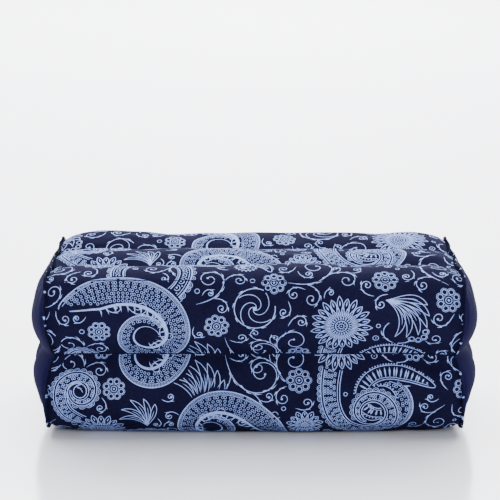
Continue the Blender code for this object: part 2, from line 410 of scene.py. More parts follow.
def placed(shapes, x, y, turn=0.0):
    c, s = math.cos(turn), math.sin(turn)
    result = []
    for shape in shapes:
        result.append(dict(shape, points=[(x + c * px - s * py, y + s * px + c * py) for px, py in shape["points"]]))
    return result


def sampled(curve, steps):
    return [curve(k / steps) for k in range(steps + 1)]


def around(cx, cy, r, angle):
    return cx + r * math.cos(angle), cy + r * math.sin(angle)


def arcPoints(cx, cy, r, start, end, steps):
    return sampled(lambda t: around(cx, cy, r, start + (end - start) * t), steps)


def arc(cx, cy, r, start, end, width, pitch=1.9):
    steps = max(4, int(abs(end - start) * r / pitch))
    return line(arcPoints(cx, cy, r, start, end, steps), width)


def disc(cx, cy, r, sides=7):
    return area([around(cx, cy, r, fullTurn * k / sides) for k in range(sides)])


def ring(cx, cy, r, width, sides=8):
    width *= printRepeat["weight"]
    outer = disc(cx, cy, r + width / 2, sides)["points"]
    inner = disc(cx, cy, r - width / 2, sides)["points"]
    return area(outer + outer[:1] + inner[:1] + inner[::-1])


def blade(length, width, bend=0.0, steps=3):
    # a filled pointed leaf along x
    upper = [(length * k / steps, width / 2 * math.sin(math.pi * (k / steps) ** 0.75)) for k in range(steps + 1)]
    points = [(x, -y) for x, y in upper] + upper[-2:0:-1]
    return area([(x, y + bend * x * x / length) for x, y in points])


def spine(length, turns, curl, pitch=1.7, bend=0.0):
    # a line that leaves nearly straight and winds up into a spiral: (x, y, heading, share of its length)
    steps = int(length / pitch)
    x = y = 0.0
    places = []
    for k in range(steps + 1):
        t = k / steps
        heading = curl * (bend * t + fullTurn * turns * t**2.1)
        places.append((x, y, heading, t))
        x += length / steps * math.cos(heading)
        y += length / steps * math.sin(heading)
    return places


def beside(places, by):
    return [(x - math.sin(h) * by(t), y + math.cos(h) * by(t)) for x, y, h, t in places]


def every(points, pitch):
    # places along a line at an even pitch, as (x, y, heading, share)
    walked, found, last = 0.0, [], len(points) - 1
    for k in range(1, last + 1):
        (ax, ay), (bx, by) = points[k - 1], points[k]
        walked += math.hypot(bx - ax, by - ay)
        if walked >= pitch:
            walked -= pitch
            found.append((bx, by, math.atan2(by - ay, bx - ax), k / last))
    return found


def scallops(points, radius, curl, until=1.0):
    # a row of double half rings along a line, on the side away from the curl
    result = []
    for x, y, h, t in every(points, radius * 2.05):
        if t > until:
            break
        out = h - curl * math.pi / 2
        result.append(arc(x, y, radius, out - 1.65, out + 1.65, 0.62, 1.5))
        result.append(arc(x, y, radius * 0.5, out - 1.5, out + 1.5, 0.55, 1.0))
    return result


def thornScroll(length, turns, curl, width=0.85):
    # a long thin tendril wound up at its end, with small thorns along its back and a bud
    steps = int(length / 1.55)
    x = y = 0.0
    places = []
    for k in range(steps + 1):
        t = k / steps
        heading = curl * fullTurn * turns * (0.58 * t**1.7 - 0.15 * math.log(1 - 0.94 * t * t))
        places.append((x, y, heading, t))
        x += length / steps * math.cos(heading)
        y += length / steps * math.sin(heading)
    points = [(x, y) for x, y, _, _ in places]
    shapes = [line(points, width, 0.12, 0.0)]
    x, y, h, _ = places[-1]
    shapes.append(disc(x, y, 0.95, 6))
    for n, (x, y, h, t) in enumerate(every(points, 6.4)):
        if 0.10 < t < 0.60:
            side = -curl if n % 3 else curl
            shapes += placed([blade(2.4 + length / 45, 1.3, -0.9 * side)], x, y, h + side * 0.75)
    if length > 44:
        for share, size in ((0.16, 0.42), (0.36, 0.50)):
            x, y, h, _ = places[int(steps * share)]
            shapes += placed(thornScroll(length * size, turns * 0.95, -curl, width * 0.9), x, y, h - curl * 0.55)
    return shapes


def bandHalf(width, t, start=0.14):
    return width / 2 * min(1.0, (t / start) ** 0.6 if t > 0 else 0.0) * (1 - t) ** 0.5 + 0.3


def lacePaisley(length, width, turns, curl):
    # chain border outside, a net of small rings, a solid thorned edge inside, and scrolls within its bend
    places = spine(length, turns, curl)

    def half(t):
        return bandHalf(width, t)

    shapes = [line(beside(places, lambda t: -curl * half(t)), 1.15)]
    wide = [p for p in places if half(p[3]) > 3.4]
    shapes.append(line(beside(wide, lambda t: -curl * (half(t) - 2.7)), 0.65))
    for x, y, h, t in every(beside(wide, lambda t: -curl * (half(t) - 1.38)), 2.15):
        shapes.append(ring(x, y, 0.78, 0.5, 6))
    rows = int((width - 6.4) / 2.8)
    for row in range(rows):
        net = [p for p in places if 2 * half(p[3]) - 6.2 > 2.8 * row + 1.6]
        if len(net) < 6:
            continue
        where = every(beside(net, lambda t: -curl * (half(t) - 4.6 - 2.8 * row)), 3.0)
        for n, (x, y, h, t) in enumerate(where):
            shapes.append(ring(x, y, 1.02, 0.55, 6))
    solid = [p for p in places if 0.03 < p[3] < 0.97]
    outer = beside(solid, lambda t: curl * half(t))
    inner = beside(solid, lambda t: curl * (half(t) - 0.5 - 2.1 * math.sin(math.pi * min(1.0, t * 1.15)) ** 0.8))
    shapes.append(area(outer + inner[::-1]))
    for n, (x, y, h, t) in enumerate(every(outer, 5.2)):
        if 0.1 < t < 0.66:
            shapes += placed([blade(3.8, 1.5, 1.0 * curl)], x, y, h + curl * 0.55)
            if n % 3 == 1 and half(t) > 4:
                shapes += placed(thornScroll(24 + 8 * (n % 2), 1.3, -curl, 0.75), x, y, h + curl * 0.9)
    outline = beside(places, lambda t: half(t) + 1.0) + beside(places, lambda t: -half(t) - 1.0)[::-1]
    return shapes, [outline]


def scalePaisley(length, width, turns, curl):
    # double lines on both sides, staggered beads between them and scallops all round its back
    places = spine(length, turns, curl)

    def half(t):
        return bandHalf(width, t, 0.08)

    shapes = []
    for side in (-1, 1):
        shapes.append(line(beside(places, lambda t: side * half(t)), 0.95))
        shapes.append(line(beside([p for p in places if half(p[3]) > 2.2], lambda t: side * (half(t) - 1.75)), 0.75))
    for row in range(int((width - 4.5) / 2.3)):
        net = [p for p in places if 2 * half(p[3]) - 4.4 > 2.3 * row + 1.0]
        if len(net) < 6:
            continue
        for x, y, h, t in every(beside(net, lambda t: -curl * (half(t) - 3.1 - 2.3 * row)), 2.5):
            shapes.append(ring(x, y, 0.88, 0.62, 6))
    back = beside([p for p in places if p[3] < 0.93], lambda t: -curl * (half(t) + 0.5))
    shapes += scallops(back, 2.3, curl, 0.97)
    outline = beside(places, lambda t: half(t) + 0.9) + beside(places, lambda t: -half(t) - 0.9)[::-1]
    withScallops = beside(places, lambda t: curl * half(t)) + beside(places, lambda t: -curl * (half(t) + 3.2))[::-1]
    return shapes, [outline, withScallops]


def ladderPaisley(length, width, turns, curl):
    # a narrow band with rungs and a beaded back
    places = spine(length, turns, curl)

    def half(t):
        return bandHalf(width, t, 0.2)

    shapes = [line(beside(places, lambda t, side=side: side * half(t)), 0.9) for side in (-1, 1)]
    shapes.append(line(beside([p for p in places if half(p[3]) > 2.4], lambda t: curl * (half(t) - 1.5)), 0.6))
    for x, y, h, t in every([(x, y) for x, y, _, t in places if half(t) > 1.6], 2.9):
        reach = half(t) - 1.2
        shapes += placed([blade(2 * reach, 1.35)], x + math.sin(h) * reach, y - math.cos(h) * reach, h + math.pi / 2)
    for x, y, h, t in every(beside(places, lambda t: -curl * (half(t) + 1.1)), 2.3):
        shapes.append(disc(x, y, 0.62, 5))
    outline = beside(places, lambda t: half(t) + 1.6) + beside(places, lambda t: -half(t) - 1.6)[::-1]
    return shapes, [outline]


def petal(root, tip, half, width, steps=5):
    # the outline of a pointed petal along x
    upper = []
    for k in range(steps):
        upper.append((root + (tip - root) * k / steps, half * math.sin(math.pi * (0.12 + 0.88 * k / steps)) ** 0.8))
    upper.append((tip, 0.0))
    return [line([(x, side * y) for x, y in upper], width) for side in (-1, 1)]


def sunFlower(r, count):
    # a ringed, beaded middle, a round of inner petals and a round of long pointed ones between them
    shapes = [ring(0, 0, r * 0.19, 1.0, 12), ring(0, 0, r * 0.09, 0.8, 8), disc(0, 0, 0.6, 5)]
    for k in range(10):
        a = fullTurn * k / 10
        shapes.append(disc(r * 0.14 * math.cos(a), r * 0.14 * math.sin(a), 0.42, 5))
    pitch = fullTurn / count
    for k in range(count):
        a = pitch * k
        shapes += placed(petal(r * 0.24, r * 0.64, r * 0.47 * pitch * 0.40, 0.8), 0, 0, a)
        shapes += placed([blade(r * 0.24, 0.95)], r * 0.31 * math.cos(a), r * 0.31 * math.sin(a), a)
        b = a + pitch / 2
        shapes += placed(petal(r * 0.56, r * (1.0 if k % 2 else 0.93), r * 0.74 * pitch * 0.42, 0.85), 0, 0, b)
        shapes += placed([blade(r * 0.20, 1.0)], r * 0.67 * math.cos(b), r * 0.67 * math.sin(b), b)
    return shapes, [disc(0, 0, r * 0.97, 26)["points"]]


def rosette(r, count):
    # bead petals round a ring with a dot, each petal with its own eye
    shapes = [ring(0, 0, r * 0.26, 0.75, 9), disc(0, 0, r * 0.1, 6)]
    eye = r * 0.70 * math.sin(math.pi / count)
    for k in range(count):
        a = fullTurn * k / count
        x, y = r * 0.70 * math.cos(a), r * 0.70 * math.sin(a)
        shapes.append(ring(x, y, eye * 0.80, 0.85, 8))
        shapes.append(arc(x, y, eye * 1.18, a - 1.55, a + 1.55, 0.5, 1.3))
    shapes.append(ring(0, 0, r * 0.44, 0.5, 12))
    return shapes, [disc(0, 0, r * 1.06, 16)["points"]]


def swirl(r, arms):
    # arms wound out of one eye, held by a thorned ring
    shapes = [disc(0, 0, r * 0.10, 8)]
    for n in range(arms):
        start = fullTurn * n / arms
        wound = sampled(lambda t: around(0, 0, r * (0.08 + 0.86 * t), start + 3.6 * t**0.7), 16)
        shapes.append(line(wound, 0.75))
    shapes.append(arc(0, 0, r, 0.6, 5.9, 1.0))
    for n in range(7):
        a = 0.9 + 0.72 * n
        shapes += placed([blade(3.4, 1.3, 0.9)], r * math.cos(a), r * math.sin(a), a + 0.7)
    return shapes, [disc(0, 0, r + 0.6, 22)["points"]]


def plume(length, count, spread, bend):
    # long loops like feathers out of one stem
    shapes, hull = [], [(0.0, 0.0)]
    for n in range(count):
        share = n / (count - 1) - 0.5
        reach = length * (1 - 0.5 * abs(share) ** 1.4)
        lean = share * spread
        wide = length * 0.075

        def edge(t, side):
            a = lean * (0.35 + 0.65 * t) + bend * t * t
            swell = wide * math.sin(math.pi * min(1.0, t) ** 1.7) ** 0.7 if 0 < t < 1 else 0.0
            x, y = reach * t * math.cos(a), reach * t * math.sin(a)
            return x - math.sin(a) * swell * side, y + math.cos(a) * swell * side

        for side in (-1, 1):
            shapes.append(line(sampled(lambda t: edge(t, side), 13), 0.75, 0.2))
        shapes.append(line(sampled(lambda t: edge(0.35 + 0.4 * t, 0), 5), 0.6, 0.3, 0.3))
        hull.append(edge(1.0, 0))
    shapes.append(blade(length * 0.34, 3.0))
    return shapes, [hull]


def archBand(r, start, end):
    # part of a large ring: thick and thin lines, a row of arches between them and scallops outside
    shapes = [arc(0, 0, r * f, start, end, w) for f, w in ((1.0, 1.5), (0.935, 0.7), (0.70, 1.1), (0.655, 0.6))]
    count = int((end - start) * r * 0.8 / 6.2)
    for k in range(count):
        a = start + (end - start) * (k + 0.5) / count
        shapes.append(arc(r * 0.80 * math.cos(a), r * 0.80 * math.sin(a), 2.25, a - 2.1, a + 2.1, 0.8, 1.3))
        shapes.append(disc(r * 0.79 * math.cos(a), r * 0.79 * math.sin(a), 0.8, 6))
        b = a + (end - start) / count / 2
        shapes.append(disc(r * 0.88 * math.cos(b), r * 0.88 * math.sin(b), 0.6, 5))
    shapes += scallops(arcPoints(0, 0, r + 0.7, start, end, 60), 2.5, 1)
    return shapes, [arcPoints(0, 0, r + 3.2, start, end, 30) + arcPoints(0, 0, r * 0.64, end, start, 30)]


class Drawn:
    # where the repeat is already drawn or covered, on a grid that wraps round

    def __init__(self, width, height):
        self.nx, self.ny = int(round(width)), int(round(height))
        self.ink, self.covered = set(), set()

    def cell(self, x, y):
        return int(x // 1) % self.nx, int(y // 1) % self.ny

    def addLine(self, shape, spread):
        points = shape["points"]
        ends = list(zip(points, points[1:])) if shape["width"] else list(zip(points, points[1:] + points[:1]))
        for (ax, ay), (bx, by) in ends:
            steps = max(1, int(math.hypot(bx - ax, by - ay) * 1.4))
            for k in range(steps):
                x, y = ax + (bx - ax) * k / steps, ay + (by - ay) * k / steps
                for dx in range(-spread, spread + 1):
                    for dy in range(-spread, spread + 1):
                        self.ink.add(self.cell(x + dx, y + dy))

    def cover(self, outline):
        ys = [p[1] for p in outline]
        y = min(ys)
        while y <= max(ys):
            crossings = []
            for (ax, ay), (bx, by) in zip(outline, outline[1:] + outline[:1]):
                if (ay > y) != (by > y):
                    crossings.append(ax + (y - ay) / (by - ay) * (bx - ax))
            crossings.sort()
            for a, b in zip(crossings[::2], crossings[1::2]):
                x = a
                while x <= b:
                    self.covered.add(self.cell(x, y))
                    x += 0.8
            y += 0.8

    def hidden(self, x, y):
        return self.cell(x, y) in self.covered

    def visible(self, shape):
        # the parts of a shape that no earlier motif covers
        points = shape["points"]
        if not shape["width"]:
            cx, cy = sum(p[0] for p in points) / len(points), sum(p[1] for p in points) / len(points)
            if len(points) <= 30:
                return [] if self.hidden(cx, cy) else [shape]
            half = len(points) // 2
            pairs = list(zip(points[:half], points[::-1][:half]))
            runs, run = [], []
            for a, b in pairs:
                if self.hidden((a[0] + b[0]) / 2, (a[1] + b[1]) / 2):
                    runs.append(run)
                    run = []
                else:
                    run.append((a, b))
            runs.append(run)
            return [area([a for a, _ in r] + [b for _, b in r[::-1]]) for r in runs if len(r) > 2]
        runs, run = [], []
        for x, y in points:
            if self.hidden(x, y):
                runs.append(run)
                run = []
            else:
                run.append((x, y))
        runs.append(run)
        if len(runs) == 1:
            return [shape]
        return [dict(shape, points=r) for r in runs if len(r) > 2]

    def free(self, shapes):
        cells = {self.cell(x, y) for shape in shapes for x, y in shape["points"]}
        return not (cells & self.ink or cells & self.covered)


motifs = {
    "lace": lacePaisley,
    "scale": scalePaisley,
    "ladder": ladderPaisley,
    "sun": sunFlower,
    "swirl": swirl,
    "plume": plume,
    "arches": archBand,
    "rosette": rosette,
    "scroll": lambda *sizes: (thornScroll(*sizes), []),
}
layout = (
    # motif, along, round, turn in degrees, its sizes; the first ones lie on top
    ("sun", 236, 98, 4, (23, 22)),
    ("sun", 58, 22, 0, (19, 18)),
    ("scale", 234, 92, -105, (175, 15, 1.45, 1)),
    ("lace", 28, 112, 22, (215, 25, 1.40, -1)),
    ("lace", 196, 6, 118, (190, 22, 1.45, 1)),
    ("ladder", 306, 62, 150, (135, 12, 1.5, 1)),
    ("arches", 96, -8, 0, (30, 0.0, fullTurn)),
    ("scale", 60, 26, 160, (120, 13, 1.5, -1)),
    ("swirl", 172, 112, 30, (15, 4)),
    ("swirl", 14, 84, 0, (12, 3)),
    ("plume", 128, 42, 62, (42, 7, 1.4, 0.5)),
    ("plume", 268, 118, -12, (38, 6, 1.2, -0.5)),
    ("lace", 250, 20, 20, (120, 16, 1.45, 1)),
    ("rosette", 205, 68, 0, (9.4, 8)),
    ("rosette", 144, 98, 10, (9.0, 8)),
    ("rosette", 268, 134, 0, (9.4, 8)),
    ("rosette", 57, 93, 20, (8.4, 8)),
    ("rosette", 11, 58, 5, (9.2, 8)),
    ("rosette", 186, 132, 0, (9.0, 8)),
    ("rosette", 292, 92, 15, (9.0, 8)),
    ("scroll", 150, 88, -78, (104, 1.55, 1)),
    ("scroll", 214, 60, 168, (92, 1.6, -1)),
    ("scroll", 196, 132, -8, (96, 1.6, 1)),
    ("scroll", 300, 108, -100, (92, 1.6, -1)),
    ("scroll", 130, 20, 200, (84, 1.6, 1)),
    ("scroll", 22, 60, 12, (80, 1.6, 1)),
)
smaller = (
    ("lace", (84, 15, 1.35, 1)),
    ("scale", (74, 10.5, 1.35, 1)),
    ("ladder", (62, 8, 1.5, 1)),
    ("swirl", (10.5, 3)),
    ("plume", (27, 5, 1.5, 0.4)),
    ("sun", (14, 14)),
)


def drawRepeat():
    rng = random.Random(printRepeat["seed"])
    width, height = printRepeat["width"], printRepeat["height"]
    drawn, kept = Drawn(width, height), []

    def keep(shapes, hulls, spread=1):
        shown = [part for shape in shapes for part in drawn.visible(shape)]
        for part in shown:
            drawn.addLine(part, spread)
        for hull in hulls:
            drawn.cover(hull)
        kept.extend(shown)

    for name, x, y, turn, sizes in layout:
        shapes, hulls = motifs[name](*sizes)
        turn = math.radians(turn)
        hulls = [placed([area(hull)], x, y, turn)[0]["points"] for hull in hulls]
        keep(placed(shapes, x, y, turn), hulls)

    def fill(count, tries, make):
        # so many motifs, each at the first free place found for it
        for _ in range(count):
            shapes, hulls = make(rng.choice((-1, 1)))
            for _ in range(tries):
                x, y, turn = rng.uniform(0, width), rng.uniform(0, height), rng.uniform(0, fullTurn)
                if drawn.hidden(x, y) or drawn.cell(x, y) in drawn.ink:
                    continue
                moved = placed(shapes, x, y, turn)
                if drawn.free(moved):
                    keep(moved, [placed([area(hull)], x, y, turn)[0]["points"] for hull in hulls])
                    break

    def scroll(low, high):
        return lambda curl: (thornScroll(rng.uniform(low, high), rng.uniform(1.5, 1.8), curl), [])

    def smallOne(curl):
        name, sizes = rng.choice(smaller)
        if name in ("lace", "scale", "ladder"):
            sizes = sizes[:3] + (curl,)
        return motifs[name](*sizes)

    def bead(curl):
        r = rng.uniform(1.3, 2.3)
        return [ring(0, 0, r, 0.75, 9)] + ([disc(0, 0, 0.5, 5)] if r > 1.9 else []), []

    fill(20, 120, scroll(70, 104))
    fill(8, 60, smallOne)
    fill(40, 120, scroll(50, 74))
    fill(4, 60, lambda curl: rosette(rng.uniform(8.0, 9.5), 8))
    fill(70, 50, scroll(30, 52))
    fill(90, 40, scroll(20, 32))
    fill(60, 4, bead)
    return [outlineOf(shape) for shape in kept if len(shape["points"]) > 2]


def boxOf(shape):
    xs, ys = [p[0] for p in shape], [p[1] for p in shape]
    return min(xs), min(ys), max(xs), max(ys)


repeatShapes = drawRepeat()
repeatBoxes = [boxOf(shape) for shape in repeatShapes]
print("scene: print repeat of", len(repeatShapes), "shapes")


def repeatedShapes(u0, u1, v0, v1, shiftU, shiftV):
    # the repeat's outlines that fall in that stretch of cloth, squeezed inside its edges
    width, height = printRepeat["width"], printRepeat["height"]
    margin = 0.4
    result = []
    for shape, (x0, y0, x1, y1) in zip(repeatShapes, repeatBoxes):
        for a in range(math.floor((u0 - shiftU - x1) / width), math.ceil((u1 - shiftU - x0) / width) + 1):
            for b in range(math.floor((v0 - shiftV - y1) / height), math.ceil((v1 - shiftV - y0) / height) + 1):
                du, dv = a * width + shiftU, b * height + shiftV
                if x1 + du < u0 + 1 or x0 + du > u1 - 1 or y1 + dv < v0 + 0.8 or y0 + dv > v1 - 0.8:
                    continue
                moved = []
                for x, y in shape:
                    point = (min(max(x + du, u0 + margin), u1 - margin), min(max(y + dv, v0 + margin), v1 - margin))
                    if not moved or math.dist(moved[-1], point) > 0.02:
                        moved.append(point)
                size = sum(p[0] * q[1] - q[0] * p[1] for p, q in zip(moved, moved[1:] + moved[:1])) / 2
                if len(moved) > 2 and abs(size) > 0.05:
                    result.append(moved if size > 0 else moved[::-1])
    return result


coverCut = {
    "grid": 2.7,  # mm between the cloth's own points
    "tubes": (0, 1, 1, 2, 3, 3, 4, 4, 5, 0),  # which tube's cloth each stretch belongs to
    "shifts": ((-172, -28), (-172, -8), (-172, 10), (-120, 24), (-60, 44), (-172, 60)),  # where the print starts on it
}


def insideOutlines(places, outlines):
    # which of the places lie inside an outline, counted by how often its line winds round them
    inside = np.zeros(len(places), bool)
    order = np.argsort(places[:, 0])
    sortedU = places[order, 0]
    for outline in outlines:
        a = np.array(outline)
        b = np.roll(a, -1, axis=0)
        near = order[np.searchsorted(sortedU, a[:, 0].min()) : np.searchsorted(sortedU, a[:, 0].max())]
        near = near[(places[near, 1] > a[:, 1].min()) & (places[near, 1] < a[:, 1].max())]
        x, y = places[near, 0][:, None], places[near, 1][:, None]
        up = (a[:, 1] <= y) & (b[:, 1] > y)
        down = (a[:, 1] > y) & (b[:, 1] <= y)
        side = (b[:, 0] - a[:, 0]) * (y - a[:, 1]) - (x - a[:, 0]) * (b[:, 1] - a[:, 1])
        turns = (up & (side > 0)).sum(axis=1) - (down & (side < 0)).sum(axis=1)
        inside[near[turns != 0]] = True
    return inside


def printedPanel(k):
    # one stretch of cloth between two channels, cut along every edge of the print
    v0, v1 = aroundMm[k * perTube], aroundMm[(k + 1) * perTube]
    u0, u1 = alongMm[0], alongMm[-1]
    points, edges = [], []
    columns = int(round((u1 - u0) / coverCut["grid"]))
    rows = max(2, int(round((v1 - v0) / coverCut["grid"])))
    for j in range(rows + 1):
        for i in range(columns + 1):
            points.append(Vector((u0 + (u1 - u0) * i / columns, v0 + (v1 - v0) * j / rows)))
    shiftU, shiftV = coverCut["shifts"][coverCut["tubes"][k]]
    if k == len(girthFaces) - 1:
        shiftV += aroundMm[-1]
    outlines = repeatedShapes(u0, u1, v0, v1, shiftU, shiftV)
    for outline in outlines:
        start, count = len(points), len(outline)
        edges += [(start + n, start + (n + 1) % count) for n in range(count)]
        points += [Vector(p) for p in outline]
    flat, _, faces, _, _, _ = delaunay_2d_cdt(points, edges, [], 0, 1e-4, True)
    flat = np.array([p[:] for p in flat])
    centres = np.array([(flat[f[0]] + flat[f[1]] + flat[f[2]]) / 3 for f in faces])
    return flat, faces, insideOutlines(centres, outlines).astype(int).tolist()


def facesOutwards(flat, faces):
    result = []
    for face in faces:
        (ax, ay), (bx, by), (cx, cy) = (flat[i] for i in face[:3])
        result.append(list(face) if (bx - ax) * (cy - ay) - (by - ay) * (cx - ax) > 0 else list(face)[::-1])
    return result


def makeCover(name, stretches, materials):
    # one piece of the cover: the stretches of cloth between some of the channels, joined along them
    flats, corners, ink = [], [], []
    for k in stretches:
        flat, faces, printed = printedPanel(k)
        start = sum(len(f) for f in flats)
        corners += [[i + start for i in face] for face in facesOutwards(flat, faces)]
        flats.append(flat)
        ink += printed
    flat = np.concatenate(flats)
    u, v = flat[:, 0], flat[:, 1]
    held = np.minimum(v, aroundMm[-1] - 1e-4)
    position, normal = onCover(u, held), coverNormals(u, held)
    # both sides of a channel share their points
    keys, keep, newIndex = {}, [], np.zeros(len(flat), int)
    onEdge = np.min(np.abs(v[:, None] - aroundMm[::perTube][None, :]), axis=1) < 1e-3
    for n in range(len(flat)):
        key = (round(u[n] * 100), round(v[n] * 100)) if onEdge[n] else None
        if key in keys:
            newIndex[n] = keys[key]
            continue
        newIndex[n] = len(keep)
        if key:
            keys[key] = len(keep)
        keep.append(n)
    faces = [[int(newIndex[i]) for i in face] for face in corners]
    mesh = bpy.data.meshes.new(name)
    mesh.from_pydata([tuple(p) for p in position[keep].tolist()], [], faces)
    for made in materials:
        mesh.materials.append(made)
    mesh.polygons.foreach_set("material_index", ink)
    uvs = mesh.uv_layers.new(name="OFBake")
    size = max(alongMm[-1] - alongMm[0], v.max() - v.min()) + 6
    at = np.array([i for face in corners for i in face])
    flatUv = np.stack([(u[at] - alongMm[0] + 3) / size, (v[at] - v.min() + 3) / size], axis=1).astype(np.float32)
    uvs.data.foreach_set("uv", flatUv.ravel())
    mesh.shade_smooth()
    mesh.update()
    mesh.normals_split_custom_set_from_vertices([tuple(n) for n in normal[keep].tolist()])
    obj = bpy.data.objects.new(name, mesh)
    bpy.context.scene.collection.objects.link(obj)
    cut = ((alongMm[-1] - alongMm[0]) / 1000, (v.max() - v.min()) / 1000)
    print(f"scene: {name},", len(faces), "faces,", sum(ink), "of them print, cut", [round(float(x), 3) for x in cut])
    return obj, cut


def makeStuffing(name, faces, material):
    # the filled block just inside its cover
    obj = meshObject(name, swollen, faces, [material])
    obj.data.update()
    inwards = np.array([v.normal[:] for v in obj.data.vertices])
    obj.data.vertices.foreach_set("co", (swollen - inwards * 0.0012).astype(np.float32).ravel())
    obj.data.update()
    return obj


def meshObject(name, points, faces, materials, smooth=True):
    mesh = bpy.data.meshes.new(name)
    mesh.from_pydata([tuple(map(float, p)) for p in points], [], faces)
    for made in materials:
        mesh.materials.append(made)
    if smooth:
        mesh.shade_smooth()
    obj = bpy.data.objects.new(name, mesh)
    bpy.context.scene.collection.objects.link(obj)
    return obj


def applied(obj):
    # the object's evaluated shape as a plain mesh with no modifiers
    graph = bpy.context.evaluated_depsgraph_get()
    graph.update()
    mesh = bpy.data.meshes.new_from_object(obj.evaluated_get(graph), preserve_all_data_layers=True, depsgraph=graph)
    obj.modifiers.clear()
    obj.data = mesh
    return obj


def makeEndPanel(name, end, material):
    outwards, rows, columns, index = end
    points, faces = [], []
    place = {}
    for (j, i), n in sorted(index.items()):
        place[(j, i)] = len(points)
        p = swollen[n].copy()
        p[0] += outwards * 0.0010
        points.append(p)
    for j in range(rows - 1):
        for i in range(columns - 1):
            quad = [place[q] for q in ((j, i), (j, i + 1), (j + 1, i + 1), (j + 1, i))]
            faces.append(quad if outwards > 0 else quad[::-1])
    obj = meshObject(name, points, faces, [material])
    fold = obj.modifiers.new("subdivision", "SUBSURF")
    fold.levels = fold.render_levels = 1
    wall = obj.modifiers.new("cloth", "SOLIDIFY")
    wall.thickness = endPanel["thickness"]
    wall.offset = -1
    # its flat size: the longest way over the swollen panel, from front to back and from bottom to top
    grid = np.array([[swollen[index[(j, i)]] for i in range(columns)] for j in range(rows)])
    across = np.linalg.norm(np.diff(grid, axis=1), axis=2).sum(axis=1).max()
    up = np.linalg.norm(np.diff(grid, axis=0), axis=2).sum(axis=0).max()
    cut = (float(across), float(up))
    print(f"scene: {name}, cut", [round(x, 4) for x in cut])
    return applied(obj), cut


# The narrow edge of the cover that is folded over each end seam and whip-stitched
endSeam = {
    "height": 0.0032,
    "halfWidth": 0.0011,
    "cornerHeight": 0.0006,
    "cornerReach": 0.0065,
    "pinch": 0.00035,  # how far each stitch pulls the fold in
    "stitchPitch": 0.0046,
    "stepsPerPoint": 3,
}


def seamPath(s):
    # points, outward directions and lengths along an end seam
    i = np.arange(0, ringPoints, 1 / endSeam["stepsPerPoint"])
    at = np.full(len(i), float(s))
    p = onGrid(at, i)
    ahead, behind = onGrid(at, (i + 0.6) % ringPoints), onGrid(at, (i - 0.6) % ringPoints)
    tangent = ahead - behind
    tangent /= np.linalg.norm(tangent, axis=1, keepdims=True)
    outward = np.cross(tangent, np.array([1.0, 0, 0]))
    outward /= np.linalg.norm(outward, axis=1, keepdims=True)
    middle = p.mean(axis=0)
    if np.sum((p - middle) * outward) < 0:
        outward = -outward
    length = np.concatenate([[0], np.cumsum(np.linalg.norm(np.diff(p, axis=0), axis=1))])
    return i, p, tangent, outward, length


def makeEndSeam(name, s, materials):
    side = -1.0 if s == 0 else 1.0
    i, p, tangent, outward, length = seamPath(s)
    profile = (  # the fold cut across, in shares of its half width and height
        (-1.0, -0.35),
        (-1.05, 0.25),
        (-0.95, 0.62),
        (-0.62, 0.90),
        (-0.1, 1.0),
        (0.45, 0.95),
        (0.92, 0.66),
        (1.1, 0.25),
        (1.0, -0.35),
    )
    rng = random.Random(5 if s == 0 else 6)
    waver = [rng.uniform(-1, 1) for _ in range(60)]
    points, faces, ink = [], [], []
    count = len(profile)
    for n in range(len(i)):
        corner = min(min(abs(i[n] - c), ringPoints - abs(i[n] - c)) for c in cornerIndex)
        pointMm = corner * aroundMm[-1] / 1000 / ringPoints
        height = endSeam["height"] + endSeam["cornerHeight"] * math.exp(-((pointMm / endSeam["cornerReach"]) ** 2))
        slow = length[n] / length[-1] * 60
        a, b = waver[int(slow) % 60], waver[(int(slow) + 1) % 60]
        uneven = a + (b - a) * (slow % 1)
        height *= 1 + 0.10 * uneven
        wave = math.cos(2 * math.pi * length[n] / endSeam["stitchPitch"])
        half = endSeam["halfWidth"] - endSeam["pinch"] * max(wave, 0) * 1.2
        for across, up in profile:
            lift = up * (height - endSeam["pinch"] * max(wave, 0))
            x = side * (across * half + 0.0006 + 0.0005 * uneven * up)
            points.append(p[n] + np.array([x, 0, 0]) + outward[n] * lift)
    for n in range(len(i)):
        m = (n + 1) % len(i)
        for a in range(count - 1):
            quad = (n * count + a, n * count + a + 1, m * count + a + 1, m * count + a)
            faces.append(quad)
        faces.append((n * count + count - 1, n * count, m * count, m * count + count - 1))
    obj = meshObject(name, points, faces, materials)
    # which faces carry a scrap of the print
    scraps = random.Random(21 if s == 0 else 22)
    state, left = 0, 0
    for n in range(len(i)):
        if left <= 0:
            state = 1 - state if scraps.random() < 0.35 else 0
            left = scraps.randint(1, 2) if state else scraps.randint(3, 9)
            row = scraps.randint(0, 4)
        left -= 1
        for a in range(count):
            obj.data.polygons[n * count + a].material_index = 1 if state and row <= a <= row + 3 else 0
    bm = bmesh.new()
    bm.from_mesh(obj.data)
    bmesh.ops.recalc_face_normals(bm, faces=bm.faces)
    bm.to_mesh(obj.data)
    bm.free()
    return obj


stitching = {
    "whip": {"pitch": 0.0046, "length": 0.0031, "thread": 0.00030, "arch": 1.25, "slant": 0.45},
    "channel": {"pitch": 0.0052, "length": 0.0034, "thread": 0.0005, "arch": 0.22, "slant": 0.0},
}


def addNode(tree, kind, settings=None, **inputs):
    # a node with its settings, and each input set to a value or linked to an output
    node = tree.nodes.new(kind)
    for key, value in (settings or {}).items():
        setattr(node, key, value)
    for key, value in inputs.items():
        wanted = key.replace("_", " ")
        socket = node.inputs[int(key[1:])] if key[0] == "i" and key[1:].isdigit() else node.inputs[wanted]
        if isinstance(value, bpy.types.NodeSocket):
            tree.links.new(value, socket)
        else:
            socket.default_value = value
    return node


